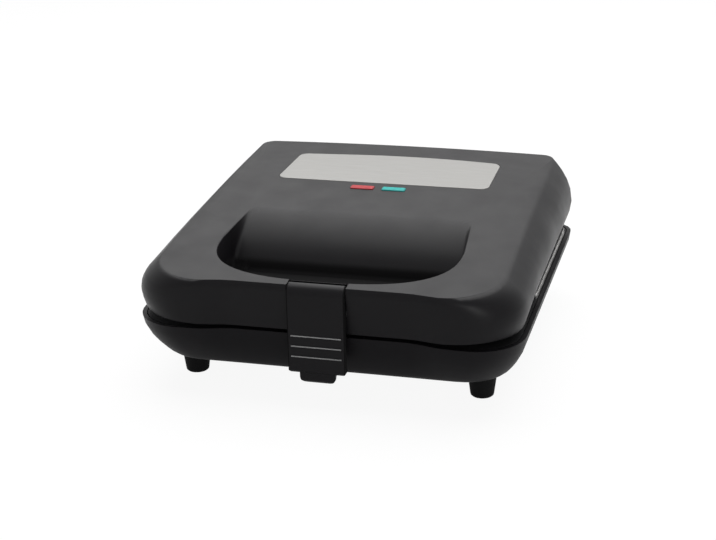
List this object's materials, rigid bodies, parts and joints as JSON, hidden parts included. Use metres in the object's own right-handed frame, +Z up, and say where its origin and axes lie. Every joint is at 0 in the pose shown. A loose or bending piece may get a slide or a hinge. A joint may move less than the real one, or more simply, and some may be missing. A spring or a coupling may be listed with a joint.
{
  "type": "sandwich toaster",
  "caption": "Electric sandwich toaster with a sloping hinged lid, a finger recess in the lid, facing hollowed cooking plates, a front latch and tapered feet.",
  "frame": {"origin": "middle of the toaster's footprint box, on the table under the feet, lid closed", "axes": "+X to the right seen from the front, +Y from the latch to the hinge, +Z up"},
  "size_m": [0.2306, 0.236, 0.0906],
  "materials": {
    "housing": "satin moulded black plastic",
    "latch": "satin moulded black plastic",
    "frame": "matt moulded black plastic",
    "feet": "matt black plastic",
    "plates": "cast with a dark non-stick coat inside, bare grey edge",
    "elements": "heat-dulled steel sheath",
    "reflectors": "bright pressed sheet",
    "fasteners": "zinc-plated",
    "thermostat": "dark moulded case",
    "ceramic": "matt off-white",
    "lamp_glass": "clear neon bulbs",
    "gland": "matt black",
    "badge": "satin brushed, bare",
    "red_lens": "gloss tinted",
    "green_lens": "gloss tinted"
  },
  "bodies": {
    "base": {"base_shell": "housing", "base_frame": "frame", "foot_front_left": "feet", "foot_front_right": "feet", "foot_rear_left": "feet", "foot_rear_right": "feet", "foot_screws": "fasteners", "base_frame_screws": "fasteners", "lower_plate": "plates", "lower_element": "elements", "lower_reflector": "reflectors", "lower_plate_screws": "fasteners", "thermostat": "thermostat", "terminal_block": "ceramic", "terminal_screw": "fasteners", "hinge_pin_left": "fasteners", "hinge_pin_right": "fasteners", "cord_gland": "gland"},
    "lid": {"lid_shell": "housing", "lid_frame": "frame", "lid_frame_screws": "fasteners", "upper_plate": "plates", "upper_element": "elements", "upper_reflector": "reflectors", "upper_plate_screws": "fasteners", "badge_plate": "badge", "power_lens": "red_lens", "ready_lens": "green_lens", "lamp_holder": "ceramic", "lamp_holder_screws": "fasteners", "lamps": "lamp_glass", "latch_pin": "fasteners"},
    "latch": {"latch": "latch"}
  },
  "joints": [
    {"name": "lid_hinge", "type": "hinge", "parent": "base", "child": "lid", "pos_m": [0, 0.114, 0.046], "axis": [-1, 0, 0], "range_deg": [0, 100]},
    {"name": "latch_pivot", "type": "hinge", "parent": "lid", "child": "latch", "pos_m": [0, -0.112, 0.06696], "axis": [-1, 0, 0], "range_deg": [0, 45]}
  ]
}
